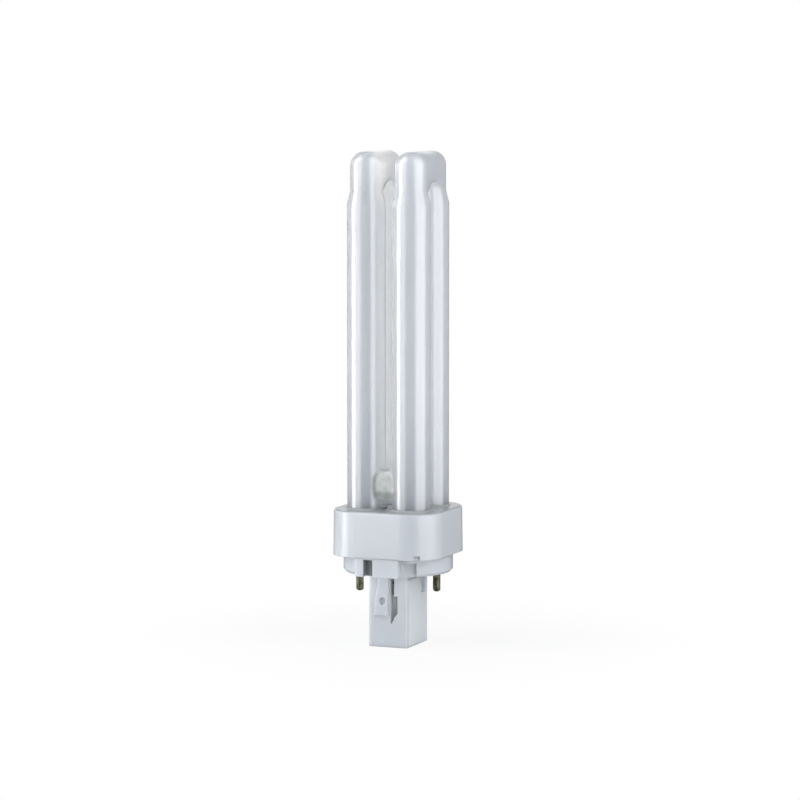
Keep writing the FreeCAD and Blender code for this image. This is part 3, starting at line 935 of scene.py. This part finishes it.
@dataclass
class LampBase:
    """The cap, the plug-in base and what is inside the starter post."""

    moulding: Moulding = Moulding()
    brass: PinBrass = PinBrass()
    bottle: PlainFinish = PlainFinish(
        "clear_glass",
        tone=(0.9, 0.94, 0.93),
        cloud=(0.8, 0.86, 0.85),
        roughness=0.2,
        transmission=0.5,
    )
    capacitor: PlainFinish = PlainFinish(
        "capacitor_coat", tone=(0.46, 0.24, 0.08), cloud=(0.34, 0.16, 0.05), roughness=0.3
    )
    wire: PlainFinish = PlainFinish(
        "lead_wire",
        tone=(0.62, 0.61, 0.58),
        cloud=(0.45, 0.44, 0.42),
        roughness=0.35,
        metallic=1.0,
    )

    def build(self, group: bpy.types.NodeTree) -> None:
        """Dress every CAD node of the base.

        Args:
            group: The soft_mottle group.
        """
        leads = ("pin_lead_left", "pin_lead_right", "starter_lead_left", "starter_lead_right")
        dress(("upper_cap", "lower_base"), self.moulding.build(group))
        dress(("contact_pin_left", "contact_pin_right"), self.brass.build(group))
        dress(("starter_glow_bottle",), self.bottle.build(group))
        dress(("starter_capacitor",), self.capacitor.build(group))
        dress(leads, self.wire.build(group))


@dataclass(frozen=True)
class SoftLight:
    """A soft rectangular light that faces the lamp.

    Attributes:
        name: The light's name.
        side: Where it stands.
        distance: From the lamp's axis, in metres.
        height: The height of its middle.
        size: Its width and height.
        power: In watts.
        aim: The height on the lamp's axis that it faces, or None for its own.
        spread: The angle of its cone, in degrees.
        mirrored: Whether it shows in reflections.
    """

    name: str
    side: Side
    distance: float
    height: float
    size: Span
    power: float
    aim: float | None = None
    spread: float = 180.0
    mirrored: bool = True


@dataclass(frozen=True)
class WhiteFloor:
    """A plain white floor that keeps the lamp's shadow near it and is even further out.

    Attributes:
        reach: From its middle to a side, in metres.
        matte: Its colour where it takes the light.
        shadow_span: How far from the lamp the matte part starts, and where it is full.
        shadow_share: How much of the floor is matte there.
        dimming: How much darker it is in reflections.
    """

    reach: float = 16.0
    matte: Colour = (0.82, 0.82, 0.82)
    shadow_span: Span = (0.11, 0.02)
    shadow_share: float = 0.14
    dimming: float = 0.82

    def build(self) -> None:
        """Lay the floor."""
        shape = bmesh.new()
        bmesh.ops.create_grid(shape, x_segments=1, y_segments=1, size=self.reach)
        data = new_mesh("floor", shape)
        floor = new_object("floor", data)
        data.materials.append(self.build_material())

    def build_material(self) -> bpy.types.Material:
        """Make the floor's material.

        Returns:
            The material.
        """
        material, nodes = new_material("white_floor")
        away = nodes.add("VectorMath", operation="LENGTH")
        nodes.join(nodes.add("TexCoord").outputs["Object"], away.inputs[0])
        near = nodes.ramp(away.outputs["Value"], self.shadow_span)
        matte = nodes.add("BsdfDiffuse")
        matte.inputs["Color"].default_value = rgba(self.matte)
        glow = nodes.add("Emission")
        glossy = nodes.add("LightPath").outputs["Is Glossy Ray"]
        strength = nodes.invert(nodes.math("MULTIPLY", glossy, self.dimming))
        nodes.join(strength, glow.inputs["Strength"])
        share = nodes.invert(nodes.math("MULTIPLY", near, self.shadow_share))
        seen = nodes.math("MULTIPLY", nodes.seen_directly(), share)
        mixed = nodes.mix_shaders(seen, matte, glow)
        nodes.join(mixed, nodes.add("OutputMaterial").inputs[0])
        return material


@dataclass(frozen=True)
class StudioWorld:
    """White where it is seen, a cool pale grey where it lights the lamp, dim in reflections.

    Spans of the direction run from 1 on the camera's side of the lamp to -1 behind it.

    Attributes:
        light: The colour that lights the lamp.
        light_span: The directions where the stronger light starts and where it is full.
        light_levels: The light's strength in front, and what is added behind.
        mirror_span: The directions where the brighter reflection starts and where it is full.
        mirror_levels: The reflection's strength in front, and what is added behind.
    """

    light: Colour = (0.92, 0.95, 1.0)
    light_span: Span = (0.5, -0.8)
    light_levels: Span = (0.10, 0.55)
    mirror_span: Span = (-0.8, -0.99)
    mirror_levels: Span = (0.12, 0.68)

    def build(self, front: Vector) -> None:
        """Make the world.

        Args:
            front: The level direction from the lamp to the camera.
        """
        world = bpy.data.worlds.new("studio")
        bpy.context.scene.world = world
        world.use_nodes = True
        world.node_tree.nodes.clear()
        nodes = Nodes(world.node_tree)
        facing = nodes.add("VectorMath", operation="DOT_PRODUCT")
        nodes.join(nodes.add("TexCoord").outputs["Generated"], facing.inputs[0])
        facing.inputs[1].default_value = front
        turn = facing.outputs["Value"]
        lit = self.level(nodes, nodes.ramp(turn, self.light_span), self.light_levels)
        mirrored = self.level(nodes, nodes.ramp(turn, self.mirror_span), self.mirror_levels)
        glossy = nodes.add("LightPath").outputs["Is Glossy Ray"]
        shown = nodes.invert(nodes.math("MULTIPLY", glossy, nodes.invert(mirrored)))
        under = self.background(nodes, self.light, lit)
        over = self.background(nodes, WHITE, shown)
        seen = nodes.mix_shaders(nodes.seen_directly(), under, over)
        nodes.join(seen, nodes.add("OutputWorld").inputs[0])

    @staticmethod
    def level(nodes: Nodes, mask: bpy.types.NodeSocket, levels: Span) -> bpy.types.NodeSocket:
        """A strength: the first level, plus the second one times the mask."""
        start, added = levels
        return nodes.line(mask, added, start)

    @staticmethod
    def background(nodes: Nodes, colour: Colour, strength: bpy.types.NodeSocket) -> bpy.types.Node:
        """Place a Background shader.

        Args:
            nodes: The world's nodes.
            colour: Its colour.
            strength: Its strength.

        Returns:
            The node.
        """
        node = nodes.add("Background")
        node.inputs["Color"].default_value = rgba(colour)
        nodes.join(strength, node.inputs["Strength"])
        return node


@dataclass
class Studio:
    """Camera, four soft strips, a weak light above, two fills, a white floor and a pale world.

    Attributes:
        azimuth: The camera's place round the lamp, in degrees from the front.
        elevation: Its height above the lamp, in degrees.
        distance: From the point that it looks at, in metres.
        lens: The focal length, in millimetres.
        sensor: The sensor's width, in millimetres.
        horizon: The farthest distance that the camera sees, in metres.
        aim_height: The height that it looks at.
        aim_right: How far to the right of the lamp's axis it looks.
        lights: The lights, in the order in which they are placed.
    """

    azimuth: float = 22.5
    elevation: float = 5.7
    distance: float = 1.1
    lens: float = 159.9
    sensor: float = 36.0
    horizon: float = 100.0
    aim_height: float = 0.0761
    aim_right: float = 0.00053
    lights: tuple[SoftLight, ...] = (
        SoftLight(
            "strip_left",
            Side.LEFT,
            distance=0.24,
            height=0.30,
            size=(0.10, 0.60),
            power=0.86,
        ),
        SoftLight(
            "strip_left_broad",
            Side.LEFT_BROAD,
            distance=0.26,
            height=0.30,
            size=(0.12, 0.60),
            power=0.36,
        ),
        SoftLight(
            "strip_right",
            Side.RIGHT,
            distance=0.25,
            height=0.30,
            size=(0.085, 0.60),
            power=0.33,
        ),
        SoftLight(
            "strip_right_broad",
            Side.RIGHT_BROAD,
            distance=0.27,
            height=0.30,
            size=(0.22, 0.60),
            power=0.86,
        ),
        SoftLight(
            "overhead",
            Side.FRONT_HIGH,
            distance=0.5,
            height=0.75,
            size=(0.5, 0.5),
            power=0.05,
            aim=0.07,
        ),
        SoftLight(
            "fill",
            Side.FRONT,
            distance=0.6,
            height=0.25,
            size=(0.06, 0.5),
            power=0.5,
            mirrored=False,
        ),
        SoftLight(
            "side_fill",
            Side.LEFT_REAR,
            distance=0.3,
            height=0.026,
            size=(0.02, 0.02),
            power=0.002,
            spread=10.0,
            mirrored=False,
        ),
    )
    floor: WhiteFloor = WhiteFloor()
    world: StudioWorld = StudioWorld()

    def toward(self, turn: float) -> Vector:
        """The level direction that lies so many degrees to the right of the camera."""
        angle = math.radians(self.azimuth + turn)
        return Vector((math.sin(angle), -math.cos(angle), 0.0))

    def build(self) -> None:
        """Place everything."""
        self.place_camera()
        for light in self.lights:
            self.place_light(light)
        self.floor.build()
        self.world.build(self.toward(0.0))

    def place_camera(self) -> None:
        """Stand the camera at the picture's angle."""
        data = bpy.data.cameras.new("camera")
        data.lens = self.lens
        data.sensor_width = self.sensor
        data.clip_end = self.horizon
        camera = new_object("camera", data)
        rise = math.radians(self.elevation)
        back = self.toward(0.0) * math.cos(rise) + Vector((0.0, 0.0, math.sin(rise)))
        right = self.toward(90.0)
        aim = Vector((0.0, 0.0, self.aim_height)) + right * self.aim_right
        camera.location = aim + back * self.distance
        camera.rotation_euler = back.to_track_quat("Z", "Y").to_euler()
        bpy.context.scene.camera = camera

    def place_light(self, light: SoftLight) -> None:
        """Place one soft light, facing the lamp's axis.

        Args:
            light: Its place, size and power.
        """
        data = bpy.data.lights.new(light.name, "AREA")
        data.shape = "RECTANGLE"
        data.size, data.size_y = light.size
        data.energy = light.power
        data.spread = math.radians(light.spread)
        thing = new_object(light.name, data)
        aim = Vector((0.0, 0.0, light.height if light.aim is None else light.aim))
        spot = self.toward(light.side.value) * light.distance + Vector((0.0, 0.0, light.height))
        thing.location = spot
        thing.rotation_euler = (spot - aim).to_track_quat("Z", "Y").to_euler()
        thing.visible_camera = False
        thing.visible_glossy = light.mirrored
        log.info("placed the light %s", light.name)


def main() -> None:
    """Build the scene in order: the lamp's glass, its base, then the studio."""
    logging.basicConfig(level=logging.INFO, format="%(name)s: %(message)s")
    group = Mottle.build_group()
    DischargeTube().build(group)
    LampBase().build(group)
    Studio().build()
    bpy.context.scene.view_settings.view_transform = "Standard"


if __name__ == "__main__":
    main()
